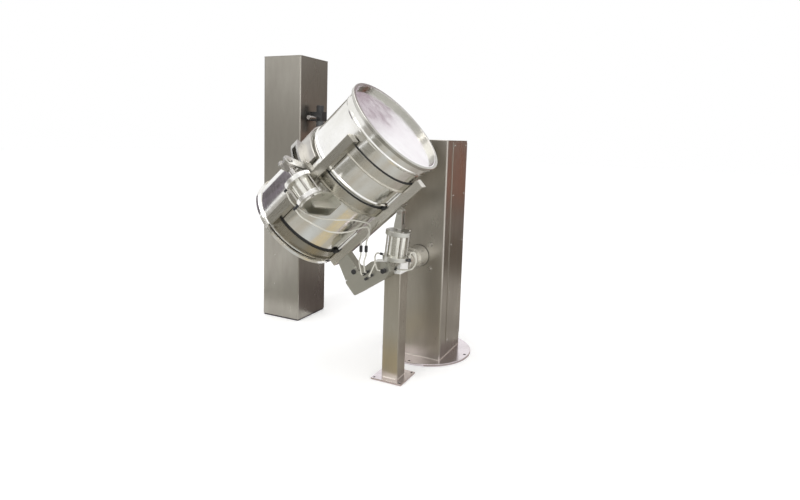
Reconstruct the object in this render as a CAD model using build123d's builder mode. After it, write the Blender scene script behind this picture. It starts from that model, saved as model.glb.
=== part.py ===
"""Drum mixer: a drum clamped in a tilting cradle that swings between a column and a post.

Millimetres, +Z up. X runs along the row of columns, Y runs away from the viewer.
The origin is on the floor under the middle of the round base plate.
"""
import os
from math import atan2, cos, degrees, hypot, radians, sin, tan

from build123d import *

os.makedirs("parts", exist_ok=True)

# Fits
RUNNING_FIT = 0.05
SLIDING_GAP = 0.5
JOINT_GAP = 1.0

# Drive column and its round base plate
COLUMN_WIDTH = 325
COLUMN_DEPTH = 345
COLUMN_WALL = 4
COLUMN_CORNER = 9
DRIVE_COLUMN_TOP = 1365
CAP_PLATE = 4
CAP_LIP = 2
BASE_THICKNESS = 15
ANCHOR_CIRCLE = 530
ANCHOR_HOLE = 18
ANCHOR_COUNT = 4
ANCHOR_EDGE = 22.5
BASE_DIAMETER = ANCHOR_CIRCLE + 2 * ANCHOR_EDGE
COVER_WIDTH = 245
COVER_BOTTOM = 95
COVER_SHEET = 3
COVER_EDGE_GAP = 8
COVER_OVERLAP = 20
COVER_SCREW_ROWS = 5
COVER_SCREW_PITCH = 305
COVER_SCREW_INSET = 20
COVER_SCREW_HEAD = 11
COVER_SCREW_RISE = 3.5

# Tall column
TALL_COLUMN_TOP = 1925
TALL_COLUMN_X = -1191
TALL_COLUMN_Y = 172.5
PLINTH_HEIGHT = 12
PLINTH_INSET = 6
TALL_SCREW_X = -52
TALL_SCREW_HEIGHTS = (258, 474)

# Swing shaft, hub and outboard bearing
SHAFT_HEIGHT = 656
SHAFT_DIAMETER = 50
HUB_DIAMETER = 135
HUB_LENGTH = 118
HUB_NOSE_DIAMETER = 118
HUB_NOSE_LENGTH = 54
HUB_BOLT_SQUARE = 152
HUB_BOLT_HEAD = 22
HUB_BOLT_RISE = 11
HUB_WASHER_RIM = 4
HUB_WASHER_THICKNESS = 2.5
COUPLING_DIAMETER = 100
COUPLING_LENGTH = 46
COUPLING_GAP = 5
POST_SIZE = 100
POST_WALL = 4
POST_Y = -483
POST_PLATE_THICKNESS = 12
POST_BOLT_SPACING = 160
POST_BOLT_HOLE = 14
POST_BOLT_EDGE = 15
POST_PLATE = POST_BOLT_SPACING + 2 * POST_BOLT_EDGE
BLOCK_HEIGHT = 72

# Swing arm, in the cradle's own directions: along the drum and below its axis
CRADLE_ANGLE = 42.5
SHAFT_ALONG = -122
SHAFT_BELOW = 556
ARM_THICKNESS = 80
ARM_POST_GAP = 9.5
ARM_CHEEK = 10
ARM_EAR = 26
ARM_OUTLINE = [(-376, 460), (-376, 556), (-150, 592), (-105, 586), (-79, 558), (-74, 532), (-160, 470)]
ARM_CORNER = 12
BOSS_RISE = 8
BOSS_RADIUS = 30
BOSS_TOP = (-114, 536)
BOSS_TOP_RADIUS = 27
FORK_DEPTH = 45
FORK_LENGTH = 126

# Tilt hinge and tilt cylinder
HINGE_ALONG = -290
HINGE_BELOW = 450
HINGE_PIN = 20
KNEE_RADIUS = 24
KNEE_FOOT = (-345, -264)
KNEE_HEEL = (-374, 455)
FOOT_ALONG = -61
FOOT_BELOW = 561.5
LINK_ALONG = 156
LINK_BELOW = 370
LINK_PIN = 16
LINK_PLAY = 1.0
EYE_WIDTH = 20
EYE_RADIUS = 14
FOOT_CHEEK = 6
TILT_CAP_GAP = 3
TILT_BARREL = 114
TILT_CAP_REACH = 26
TILT_FORK_START = 200
FORK_CHEEK = 13
FORK_WIDTH = 30
FORK_BASE = 22
FORK_FOOT = 44
LUG_THICKNESS = 20
LUG_PAD = 6

# Both air cylinders
CAP_THICKNESS = 24
BARREL_DIAMETER = 98
BARREL_WALL = 5
ROD_DIAMETER = 28
TIE_ROD = 10
TIE_GAP = 6
TIE_EDGE = 10
TIE_NUT = 17
TIE_NUT_HEIGHT = 7
TIE_CIRCLE = BARREL_DIAMETER + 2 * TIE_GAP + TIE_ROD
CAP_DIAMETER = TIE_CIRCLE + 2 * TIE_EDGE
PISTON = 14

# Drum
DRUM_LENGTH = 844
DRUM_DIAMETER = 572
DRUM_WALL = 2
RIM_DIAMETER = 596
CHIME_DIAMETER = 600
CHIME_HEIGHT = 18
HOOP_HEIGHTS = (102,)
HOOP_PROUD = 6
HOOP_HALF = 10
HOOP_FLAT = 3
BEAD_FROM_TOP = 59
BEAD_PROUD = 3
BOTTOM_RISE = 14
CHIME_LIP = 10
NECK = 6
LID_RECESS = 22
LID_SHEET = 2
LID_GAP = 1.5
RING_WALL = 4
RING_HEIGHT = 16
RING_LIP = 12
RING_TOP = 3
RING_BEVEL = 2

# Cradle
LINING_GAP = 0.3
LINING = 3.7
BAND = 6
BAND_WIDTH = 58
BAND_FLANGE = 9
BAND_FLANGE_WALL = 5
BAND_CENTRES = {"top": DRUM_LENGTH / 2 - 162, "middle": 52, "bottom": 75 - DRUM_LENGTH / 2}
BAND_OVERHANG = 5
LINING_PROUD = {"top": 5, "middle": 5, "bottom": 11}
STOP_ANGLES = {"middle": (80, 85), "bottom": (79, 84.5)}
STOP_LENGTH = 20
STOP_HEIGHT = 14
STOP_LIFT = 3
RAIL = 50
RAIL_WALL = 4
RAIL_PLUG = 4
SIDE_RAIL_ENDS = (72 - DRUM_LENGTH / 2, DRUM_LENGTH / 2 - 102)
BOTTOM_RAIL_ENDS = (37 - DRUM_LENGTH / 2, DRUM_LENGTH / 2 - 87)
STRIP = 8
LOWER_STRIP = (BAND_CENTRES["bottom"] + BAND_WIDTH / 2 + 22, -141)
UPPER_STRIP = (HOOP_HEIGHTS[0] + 14, BAND_CENTRES["top"] - BAND_WIDTH / 2 - 5)

# Clamp cylinder, lever and jaw
CLAMP_ALONG = -13
CLAMP_RAIL_GAP = 1.5
CLAMP_BOTTOM = 109
CLAMP_BARREL = 83
CLAMP_PIN_BELOW = -122
CLAMP_STROKE = 49.2
CLAMP_PIN = 16
CLAMP_SLOT_PLAY = 1.6
ROD_EYE = 30
ROD_EYE_RADIUS = 18
ROD_EYE_FOOT = 28
MOUNT_PLATE = 12
MOUNT_INSET = 6
MOUNT_ENDS = (-72, BAND_CENTRES["middle"] - BAND_WIDTH / 2)
MOUNT_RIB = 8
MOUNT_BACK = 262
MOUNT_FRONT_DEPTH = 34
MOUNT_BACK_DEPTH = 63
MOUNT_NOSE = 12
JAW_HINGE_FRONT = 332
JAW_HINGE_BELOW = -78
JAW_HINGE_PIN = 20
JAW_BARREL = 20
JAW_LUG = 12
JAW_LUG_CENTRES = (-56, 34)
LEVER_PLATE = 12
LEVER_BOSS = 28
RIB_HEIGHT = 39
RIB_ANGLES = (-48, -13)
JAW_STRAP = 8
JAW_PAD = 11.5
JAW_PAD_GAP = 0.5
JAW_ENDS = (-40, 75)
JAW_ANGLES = (-100, -17)
PAD_INSET = 16

# Air fittings and tubes
TUBE_RADIUS = 4
TUBE_ARC_SHARE = 0.45
FITTING_RADIUS = 8
FITTING_LENGTH = 16
ARM_FITTINGS = ((-240, 498), (-214, 500), (-246, 526), (-208, 530))
UNION_RADIUS = 13
UNION_LENGTH = 24

# Directions and places that follow from the sizes above
TILT = radians(CRADLE_ANGLE)
ALONG = Vector(cos(TILT), 0, sin(TILT))
BELOW = Vector(sin(TILT), 0, -cos(TILT))
FRONT = Vector(0, -1, 0)
DRUM_Y = POST_Y - POST_SIZE / 2 - ARM_POST_GAP - ARM_THICKNESS / 2
DRUM_CENTRE = Vector(0, DRUM_Y, SHAFT_HEIGHT) - ALONG * SHAFT_ALONG - BELOW * SHAFT_BELOW
DRUM_RADIUS = DRUM_DIAMETER / 2
DRUM_HALF = DRUM_LENGTH / 2
BAND_INNER = DRUM_RADIUS + LINING_GAP + LINING
BAND_OUTER = BAND_INNER + BAND
RAIL_CENTRE = BAND_OUTER + RAIL / 2
RAIL_FACE = BAND_OUTER + RAIL
COLUMN_FACE = COLUMN_DEPTH / 2
CAP_RADIUS = CAP_DIAMETER / 2
CLAMP_FRONT = RAIL_FACE + CLAMP_RAIL_GAP + CAP_RADIUS
TILT_FRONT = CAP_RADIUS + TILT_CAP_GAP - ARM_POST_GAP - ARM_THICKNESS / 2


def place(front, below, along):
    """World point from the cradle's directions, measured from the drum's middle."""
    return DRUM_CENTRE + FRONT * front + BELOW * below + ALONG * along


def side(front):
    """Plane seen from the front: x along the drum, y up across it."""
    return Plane(origin=place(front, 0, 0), x_dir=ALONG, z_dir=FRONT)


def section(along):
    """Plane across the drum: x to the front, y below."""
    return Plane(origin=place(0, 0, along), x_dir=FRONT, z_dir=ALONG)


def profile():
    """Plane through the drum's axis: x is the radius, y the height along the drum."""
    return Plane(origin=DRUM_CENTRE, x_dir=FRONT, z_dir=BELOW * -1)


FOOT = place(TILT_FRONT, FOOT_BELOW, FOOT_ALONG)
LINK = place(TILT_FRONT, LINK_BELOW, LINK_ALONG)
TILT_LENGTH = (LINK - FOOT).length
TILT_AXIS = (LINK - FOOT).normalized()
TILT_END = Plane(origin=FOOT, x_dir=FRONT, z_dir=TILT_AXIS)
TILT_SIDE = Plane(origin=FOOT, x_dir=TILT_AXIS.cross(FRONT), z_dir=FRONT)
ARM_END = max(place(0, below, along).X for along, below in ARM_OUTLINE)
END_FITTING = Vector(ARM_END, DRUM_Y + EYE_WIDTH / 4, SHAFT_HEIGHT + 4)
union_y = DRUM_Y - ARM_THICKNESS / 2 - BOSS_RISE - UNION_LENGTH / 2
union_centre = Vector(0, union_y, SHAFT_HEIGHT)
CLAMP_END = Plane(origin=place(CLAMP_FRONT, CLAMP_BOTTOM, CLAMP_ALONG), x_dir=ALONG, z_dir=BELOW * -1)


def curved_plate(inner, outer, angles, ends):
    """Plate bent round the drum between two angles, measured from the front towards below."""
    start, stop = angles
    low, high = ends
    with BuildPart() as plate:
        with BuildSketch(section(low)):
            with BuildLine():
                CenterArc((0, 0), inner, start, stop - start)
                CenterArc((0, 0), outer, start, stop - start)
                for angle in angles:
                    a = radians(angle)
                    Line((inner * cos(a), inner * sin(a)), (outer * cos(a), outer * sin(a)))
            make_face()
        extrude(amount=high - low)
    return plate.part


def drum_cylinder(radius, ends):
    """Cylinder on the drum's axis."""
    with BuildPart() as body:
        with BuildSketch(section(ends[0])):
            Circle(radius)
        extrude(amount=ends[1] - ends[0])
    return body.part


def column_shell(bottom, top, centre):
    """Folded box column, open below, with rounded upright corners."""
    with BuildPart() as shell:
        with BuildSketch(Plane.XY.offset(bottom)):
            with Locations(centre):
                RectangleRounded(COLUMN_WIDTH, COLUMN_DEPTH, COLUMN_CORNER)
                RectangleRounded(
                    COLUMN_WIDTH - 2 * COLUMN_WALL,
                    COLUMN_DEPTH - 2 * COLUMN_WALL,
                    COLUMN_CORNER - COLUMN_WALL,
                    mode=Mode.SUBTRACT,
                )
        extrude(amount=top - bottom)
    return shell.part


def column_cap(top, centre):
    """Flat top plate with a small lip round the column."""
    with BuildPart() as cap:
        with BuildSketch(Plane.XY.offset(top - CAP_PLATE)):
            with Locations(centre):
                RectangleRounded(
                    COLUMN_WIDTH + 2 * CAP_LIP,
                    COLUMN_DEPTH + 2 * CAP_LIP,
                    COLUMN_CORNER + CAP_LIP,
                )
        extrude(amount=CAP_PLATE)
        fillet(cap.edges().group_by(Axis.Z)[-1], radius=1.5)
    return cap.part


def cylinder_caps(plane, first, barrel, rod_side_bore):
    """Two round end caps; the far one is bored for the rod."""
    with BuildPart() as caps:
        with BuildSketch(plane.offset(first)):
            Circle(CAP_RADIUS)
        extrude(amount=CAP_THICKNESS)
        with BuildSketch(plane.offset(first + CAP_THICKNESS + barrel)):
            Circle(CAP_RADIUS)
            Circle(rod_side_bore, mode=Mode.SUBTRACT)
        extrude(amount=CAP_THICKNESS)
        fillet(caps.edges().filter_by(GeomType.CIRCLE).filter_by(lambda e: e.radius == CAP_RADIUS), radius=2)
    return caps.part


def cylinder_barrel(plane, first, barrel):
    with BuildPart() as tube:
        with BuildSketch(plane.offset(first + CAP_THICKNESS)):
            Circle(BARREL_DIAMETER / 2)
            Circle(BARREL_DIAMETER / 2 - BARREL_WALL, mode=Mode.SUBTRACT)
        extrude(amount=barrel)
    return tube.part


def cylinder_tie_rods(plane, first, barrel):
    """Four rods between the caps with a nut beyond each end."""
    with BuildPart() as rods:
        with BuildSketch(plane.offset(first + CAP_THICKNESS)):
            with PolarLocations(TIE_CIRCLE / 2, 4, start_angle=45):
                Circle(TIE_ROD / 2)
        extrude(amount=barrel)
        for height in (first - TIE_NUT_HEIGHT, first + 2 * CAP_THICKNESS + barrel):
            with BuildSketch(plane.offset(height)):
                with PolarLocations(TIE_CIRCLE / 2, 4, start_angle=45):
                    RegularPolygon(TIE_NUT / 2, 6)
            extrude(amount=TIE_NUT_HEIGHT)
    return rods.part


def air_tube(*points):
    """Round tube along straight runs, each turn an arc as large as its two runs allow."""
    radii = []
    for before, corner, after in zip(points, points[1:], points[2:]):
        arriving = corner - before
        leaving = after - corner
        shorter = min(arriving.length, leaving.length)
        half_turn = radians(arriving.get_angle(leaving)) / 2
        radii.append(TUBE_ARC_SHARE * shorter / tan(half_turn))
    with BuildPart() as tube:
        with BuildLine() as path:
            FilletPolyline(*points, radius=radii)
        with BuildSketch(Plane(origin=path.line @ 0, z_dir=path.line % 0)):
            Circle(TUBE_RADIUS)
        sweep()
    return tube.part


# Drive column
with BuildPart() as drive_column_shell:
    add(column_shell(BASE_THICKNESS, DRIVE_COLUMN_TOP - CAP_PLATE, (0, 0)))
    cover_top = DRIVE_COLUMN_TOP - CAP_PLATE - COVER_EDGE_GAP
    cover_y = COLUMN_FACE - COVER_EDGE_GAP - COVER_WIDTH / 2
    cover_height = cover_top - COVER_BOTTOM
    with BuildSketch(Plane.YZ.offset(COLUMN_WIDTH / 2 - 2 * COLUMN_WALL)):
        with Locations((cover_y, COVER_BOTTOM + cover_height / 2)):
            Rectangle(COVER_WIDTH - 2 * COVER_OVERLAP, cover_height - 2 * COVER_OVERLAP)
    extrude(amount=3 * COLUMN_WALL, mode=Mode.SUBTRACT)
    with BuildSketch(Plane.XZ.offset(COLUMN_FACE - 2 * COLUMN_WALL)):
        with Locations((0, SHAFT_HEIGHT)):
            Circle(SHAFT_DIAMETER)
    extrude(amount=3 * COLUMN_WALL, mode=Mode.SUBTRACT)
drive_column_shell.part.label = "drive_column_shell"

with BuildPart() as drive_column_cap:
    add(column_cap(DRIVE_COLUMN_TOP, (0, 0)))
drive_column_cap.part.label = "drive_column_cap"

with BuildPart() as drive_column_cover:
    with BuildSketch(Plane.YZ.offset(COLUMN_WIDTH / 2)):
        with Locations((cover_y, COVER_BOTTOM + cover_height / 2)):
            RectangleRounded(COVER_WIDTH, cover_height, 4)
    extrude(amount=COVER_SHEET)
drive_column_cover.part.label = "drive_column_cover"

with BuildPart() as panel_screws:
    first_row = cover_top - COVER_SCREW_INSET
    for row in range(COVER_SCREW_ROWS):
        with BuildSketch(Plane.YZ.offset(COLUMN_WIDTH / 2 + COVER_SHEET)):
            with Locations((cover_y, first_row - row * COVER_SCREW_PITCH)):
                with GridLocations(COVER_WIDTH - 2 * COVER_SCREW_INSET - 8, 0, 2, 1):
                    Circle(COVER_SCREW_HEAD / 2)
        extrude(amount=COVER_SCREW_RISE, taper=20)
    with BuildSketch(Plane.XZ.offset(COLUMN_FACE - TALL_COLUMN_Y)):
        for height in TALL_SCREW_HEIGHTS:
            with Locations((TALL_COLUMN_X + TALL_SCREW_X, height)):
                Circle(COVER_SCREW_HEAD / 2)
    extrude(amount=COVER_SCREW_RISE, taper=20)
panel_screws.part.label = "panel_screws"

with BuildPart() as round_base_plate:
    with BuildSketch():
        Circle(BASE_DIAMETER / 2)
        with PolarLocations(ANCHOR_CIRCLE / 2, ANCHOR_COUNT):
            Circle(ANCHOR_HOLE / 2, mode=Mode.SUBTRACT)
    extrude(amount=BASE_THICKNESS)
    circles = round_base_plate.edges().filter_by(GeomType.CIRCLE)
    chamfer(circles.filter_by(lambda e: e.radius > BASE_DIAMETER / 3), length=1.5)
round_base_plate.part.label = "round_base_plate"

# Hub, shaft, coupling and outboard bearing
with BuildPart() as hub_housing:
    with BuildSketch(Plane.XZ.offset(COLUMN_FACE)):
        with Locations((0, SHAFT_HEIGHT)):
            Circle(HUB_DIAMETER / 2)
    extrude(amount=HUB_LENGTH)
    with BuildSketch(Plane.XZ.offset(COLUMN_FACE + HUB_LENGTH)):
        with Locations((0, SHAFT_HEIGHT)):
            Circle(HUB_NOSE_DIAMETER / 2)
    extrude(amount=HUB_NOSE_LENGTH)
    fillet(hub_housing.edges().filter_by(GeomType.CIRCLE).group_by(Axis.Y)[0], radius=5)
    with BuildSketch(Plane.XZ.offset(COLUMN_FACE)):
        with Locations((0, SHAFT_HEIGHT)):
            Circle(SHAFT_DIAMETER / 2 + RUNNING_FIT)
    extrude(amount=HUB_LENGTH + HUB_NOSE_LENGTH, mode=Mode.SUBTRACT)
hub_housing.part.label = "hub_housing"

with BuildPart() as hub_bolts:
    with BuildSketch(Plane.XZ.offset(COLUMN_FACE)):
        with Locations((0, SHAFT_HEIGHT)):
            with GridLocations(HUB_BOLT_SQUARE, HUB_BOLT_SQUARE, 2, 2):
                Circle(HUB_BOLT_HEAD / 2 + HUB_WASHER_RIM)
    extrude(amount=HUB_WASHER_THICKNESS)
    with BuildSketch(Plane.XZ.offset(COLUMN_FACE + HUB_WASHER_THICKNESS)):
        with Locations((0, SHAFT_HEIGHT)):
            with GridLocations(HUB_BOLT_SQUARE, HUB_BOLT_SQUARE, 2, 2):
                RegularPolygon(HUB_BOLT_HEAD / 2, 6)
    extrude(amount=HUB_BOLT_RISE)
hub_bolts.part.label = "hub_bolts"

with BuildPart() as main_shaft:
    shaft_start = COLUMN_FACE - 20
    shaft_end = -DRUM_Y + ARM_THICKNESS / 2
    with BuildSketch(Plane.XZ.offset(shaft_start)):
        with Locations((0, SHAFT_HEIGHT)):
            Circle(SHAFT_DIAMETER / 2)
    extrude(amount=shaft_end - shaft_start)
main_shaft.part.label = "main_shaft"

with BuildPart() as shaft_coupling:
    with BuildSketch(Plane.XZ.offset(COLUMN_FACE + HUB_LENGTH + HUB_NOSE_LENGTH + COUPLING_GAP)):
        with Locations((0, SHAFT_HEIGHT)):
            Circle(COUPLING_DIAMETER / 2)
            Circle(SHAFT_DIAMETER / 2, mode=Mode.SUBTRACT)
    extrude(amount=COUPLING_LENGTH)
    circles = shaft_coupling.edges().filter_by(GeomType.CIRCLE)
    chamfer(circles.filter_by(lambda e: e.radius > SHAFT_DIAMETER * 0.6), length=3)
shaft_coupling.part.label = "shaft_coupling"

with BuildPart() as support_post:
    post_top = SHAFT_HEIGHT - BLOCK_HEIGHT / 2
    with BuildSketch(Plane.XY.offset(POST_PLATE_THICKNESS)):
        with Locations((0, POST_Y)):
            RectangleRounded(POST_SIZE, POST_SIZE, 6)
            RectangleRounded(POST_SIZE - 2 * POST_WALL, POST_SIZE - 2 * POST_WALL, 2, mode=Mode.SUBTRACT)
    extrude(amount=post_top - POST_PLATE_THICKNESS)
support_post.part.label = "support_post"

with BuildPart() as post_base_plate:
    with BuildSketch():
        with Locations((0, POST_Y)):
            Rectangle(POST_PLATE, POST_PLATE)
            with GridLocations(POST_BOLT_SPACING, POST_BOLT_SPACING, 2, 2):
                Circle(POST_BOLT_HOLE / 2, mode=Mode.SUBTRACT)
    extrude(amount=POST_PLATE_THICKNESS)
post_base_plate.part.label = "post_base_plate"

with BuildPart() as bearing_block:
    with BuildSketch(Plane.XY.offset(post_top)):
        with Locations((0, POST_Y)):
            Rectangle(POST_SIZE, POST_SIZE)
    extrude(amount=BLOCK_HEIGHT)
    fillet(bearing_block.edges(), radius=2)
    with BuildSketch(Plane.XZ.offset(-POST_Y - POST_SIZE)):
        with Locations((0, SHAFT_HEIGHT)):
            Circle(SHAFT_DIAMETER / 2 + RUNNING_FIT)
    extrude(amount=2 * POST_SIZE, mode=Mode.SUBTRACT)
bearing_block.part.label = "bearing_block"

# Tall column
tall_centre = (TALL_COLUMN_X, TALL_COLUMN_Y)
with BuildPart() as tall_column_shell:
    add(column_shell(PLINTH_HEIGHT, TALL_COLUMN_TOP - CAP_PLATE, tall_centre))
tall_column_shell.part.label = "tall_column_shell"

with BuildPart() as tall_column_plinth:
    with BuildSketch():
        with Locations(tall_centre):
            Rectangle(COLUMN_WIDTH - 2 * PLINTH_INSET, COLUMN_DEPTH - 2 * PLINTH_INSET)
    extrude(amount=PLINTH_HEIGHT)
tall_column_plinth.part.label = "tall_column_plinth"

with BuildPart() as tall_column_cap:
    add(column_cap(TALL_COLUMN_TOP, tall_centre))
tall_column_cap.part.label = "tall_column_cap"

# Air service unit on the tall column
SERVICE_FACE = TALL_COLUMN_X + COLUMN_WIDTH / 2
SERVICE_OFFSET = 66
SERVICE_HEIGHT = 1505
SERVICE_Y = 150
BODY_SIZE = 74
BODY_HEIGHT = 66
BOWL_RADIUS = 29
BOWL_LENGTH = 88
KNOB_RADIUS = 27
KNOB_HEIGHT = 46
KNOB_GAP = 0.3
VALVE_RADIUS = 13
VALVE_LENGTH = 96

service_x = SERVICE_FACE + SERVICE_OFFSET
with BuildPart() as service_body:
    with BuildSketch(Plane.XY.offset(SERVICE_HEIGHT - BODY_HEIGHT / 2)):
        with Locations((service_x, SERVICE_Y)):
            RectangleRounded(BODY_SIZE, BODY_SIZE, 8)
    extrude(amount=BODY_HEIGHT)
    with BuildSketch(Plane.YZ.offset(SERVICE_FACE)):
        with Locations((SERVICE_Y, SERVICE_HEIGHT)):
            Rectangle(BODY_SIZE * 0.6, BODY_HEIGHT)
    extrude(amount=SERVICE_OFFSET)
    with BuildSketch(Plane.XZ.offset(-SERVICE_Y - BODY_SIZE / 2)):
        with Locations((service_x, SERVICE_HEIGHT)):
            Circle(16)
    extrude(amount=-22)
service_body.part.label = "service_body"

with BuildPart() as service_bowl:
    with BuildSketch(Plane.XY.offset(SERVICE_HEIGHT - BODY_HEIGHT / 2)):
        with Locations((service_x, SERVICE_Y)):
            Circle(BOWL_RADIUS)
    extrude(amount=-BOWL_LENGTH, taper=3)
    fillet(service_bowl.edges().group_by(Axis.Z)[0], radius=10)
service_bowl.part.label = "service_bowl"

with BuildPart() as regulator_knob:
    with BuildSketch(Plane.XY.offset(SERVICE_HEIGHT + BODY_HEIGHT / 2 + KNOB_GAP)):
        with Locations((service_x, SERVICE_Y)):
            Circle(KNOB_RADIUS)
            with PolarLocations(KNOB_RADIUS + 2, 12):
                Circle(3.5, mode=Mode.SUBTRACT)
    extrude(amount=KNOB_HEIGHT)
    fillet(regulator_knob.edges().group_by(Axis.Z)[-1], radius=1.5)
regulator_knob.part.label = "regulator_knob"

with BuildPart() as shutoff_valve:
    valve_start = -SERVICE_Y + BODY_SIZE / 2
    with BuildSketch(Plane.XZ.offset(valve_start)):
        with Locations((service_x, SERVICE_HEIGHT - 12)):
            Circle(VALVE_RADIUS)
    extrude(amount=VALVE_LENGTH)
    with BuildSketch(Plane.XZ.offset(valve_start + VALVE_LENGTH)):
        with Locations((service_x, SERVICE_HEIGHT - 12)):
            RegularPolygon(VALVE_RADIUS + 3, 6)
    extrude(amount=12)
shutoff_valve.part.label = "shutoff_valve"

# Swing arm: boxed lever with a fork for the knee and two cheeks for the tilt cylinder's foot
with BuildPart() as swing_arm:
    half = ARM_THICKNESS / 2
    with BuildSketch(side(-half)) as arm_sketch:
        Polygon(*[(a, -b) for a, b in ARM_OUTLINE], align=None)
        fillet(arm_sketch.vertices(), radius=ARM_CORNER)
    extrude(amount=ARM_THICKNESS)
    with BuildSketch(side(-half)):
        with Locations((HINGE_ALONG, -HINGE_BELOW)):
            Circle(ARM_EAR)
        with Locations((HINGE_ALONG, -HINGE_BELOW - ARM_EAR)):
            Rectangle(2 * ARM_EAR, 2 * ARM_EAR)
    extrude(amount=ARM_THICKNESS)
    slot_low = ARM_OUTLINE[0][1] + FORK_DEPTH
    slot_right = ARM_OUTLINE[0][0] + FORK_LENGTH
    with BuildSketch(side(-half + ARM_CHEEK)):
        Polygon(
            (slot_right - 2 * FORK_LENGTH, -HINGE_BELOW + 3 * ARM_EAR),
            (slot_right, -HINGE_BELOW + 3 * ARM_EAR),
            (slot_right, -slot_low),
            (slot_right - 2 * FORK_LENGTH, -slot_low),
            align=None,
        )
    extrude(amount=ARM_THICKNESS - 2 * ARM_CHEEK, mode=Mode.SUBTRACT)
    foot_half = EYE_WIDTH / 2 + SLIDING_GAP + FOOT_CHEEK
    with BuildSketch(side(TILT_FRONT - foot_half)):
        with Locations((FOOT_ALONG, -FOOT_BELOW)):
            Circle(EYE_RADIUS + 1)
        with Locations((SHAFT_ALONG + 25, -SHAFT_BELOW)):
            Circle(24)
        make_hull()
    extrude(amount=2 * foot_half)
    with BuildSketch(side(TILT_FRONT - EYE_WIDTH / 2 - SLIDING_GAP)):
        with Locations((FOOT_ALONG, -FOOT_BELOW)):
            Circle(EYE_RADIUS + 6)
    extrude(amount=EYE_WIDTH + 2 * SLIDING_GAP, mode=Mode.SUBTRACT)
    with BuildSketch(side(-half)):
        with Locations((HINGE_ALONG, -HINGE_BELOW)):
            Circle(HINGE_PIN / 2)
        with Locations((FOOT_ALONG, -FOOT_BELOW)):
            Circle(LINK_PIN / 2)
        with Locations((SHAFT_ALONG, -SHAFT_BELOW)):
            Circle(SHAFT_DIAMETER / 2)
    extrude(amount=ARM_THICKNESS, mode=Mode.SUBTRACT)
    with BuildSketch(side(half)):
        with Locations((SHAFT_ALONG, -SHAFT_BELOW)):
            Circle(BOSS_RADIUS)
        with Locations((BOSS_TOP[0], -BOSS_TOP[1])):
            Circle(BOSS_TOP_RADIUS)
        make_hull()
    extrude(amount=BOSS_RISE)
swing_arm.part.label = "swing_arm"

with BuildPart() as pivot_pin:
    with BuildSketch(side(-ARM_THICKNESS / 2)):
        with Locations((HINGE_ALONG, -HINGE_BELOW)):
            Circle(HINGE_PIN / 2)
    extrude(amount=ARM_THICKNESS)
    with BuildSketch(side(ARM_THICKNESS / 2)):
        with Locations((HINGE_ALONG, -HINGE_BELOW)):
            Circle(HINGE_PIN / 2 + 4)
    extrude(amount=6)
    fillet(pivot_pin.edges().group_by(Axis.Y)[0], radius=1.5)
pivot_pin.part.label = "pivot_pin"

with BuildPart() as foot_pin:
    with BuildSketch(side(TILT_FRONT - foot_half)):
        with Locations((FOOT_ALONG, -FOOT_BELOW)):
            Circle(LINK_PIN / 2)
    extrude(amount=2 * foot_half)
    with BuildSketch(side(TILT_FRONT + foot_half)):
        with Locations((FOOT_ALONG, -FOOT_BELOW)):
            Circle(LINK_PIN / 2 + 3)
    extrude(amount=5)
foot_pin.part.label = "foot_pin"

with BuildPart() as rotary_union:
    with BuildSketch(side(ARM_THICKNESS / 2 + BOSS_RISE)):
        with Locations((SHAFT_ALONG, -SHAFT_BELOW)):
            Circle(UNION_RADIUS)
    extrude(amount=UNION_LENGTH)
    fillet(rotary_union.edges().group_by(Axis.Y)[0], radius=3)
rotary_union.part.label = "rotary_union"

with BuildPart() as arm_fittings:
    with BuildSketch(side(ARM_THICKNESS / 2)):
        for along, below in ARM_FITTINGS:
            with Locations((along, -below)):
                Circle(FITTING_RADIUS)
    extrude(amount=FITTING_LENGTH)
    with BuildSketch(Plane(origin=END_FITTING, z_dir=(1, 0, 0))):
        Circle(FITTING_RADIUS)
    extrude(amount=FITTING_LENGTH)
arm_fittings.part.label = "arm_fittings"

# Tilt cylinder on its foot pin
tilt_bore = ROD_DIAMETER / 2 + RUNNING_FIT
with BuildPart() as tilt_end_caps:
    add(cylinder_caps(TILT_END, TILT_CAP_REACH, TILT_BARREL, tilt_bore))
    with BuildSketch(TILT_SIDE.offset(-EYE_WIDTH / 2)):
        Circle(EYE_RADIUS)
        Rectangle(2 * EYE_RADIUS, TILT_CAP_REACH, align=(Align.CENTER, Align.MIN))
        Circle(LINK_PIN / 2 + RUNNING_FIT, mode=Mode.SUBTRACT)
    extrude(amount=EYE_WIDTH)
tilt_end_caps.part.label = "tilt_end_caps"

with BuildPart() as tilt_barrel:
    add(cylinder_barrel(TILT_END, TILT_CAP_REACH, TILT_BARREL))
tilt_barrel.part.label = "tilt_barrel"

with BuildPart() as tilt_tie_rods:
    add(cylinder_tie_rods(TILT_END, TILT_CAP_REACH, TILT_BARREL))
tilt_tie_rods.part.label = "tilt_tie_rods"

with BuildPart() as tilt_rod:
    inside = TILT_CAP_REACH + CAP_THICKNESS + 4
    with BuildSketch(TILT_END.offset(inside)):
        Circle(BARREL_DIAMETER / 2 - BARREL_WALL - 0.3)
    extrude(amount=PISTON)
    with BuildSketch(TILT_END.offset(inside + PISTON)):
        Circle(ROD_DIAMETER / 2)
    extrude(amount=TILT_FORK_START - inside - PISTON)
tilt_rod.part.label = "tilt_rod"

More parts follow.
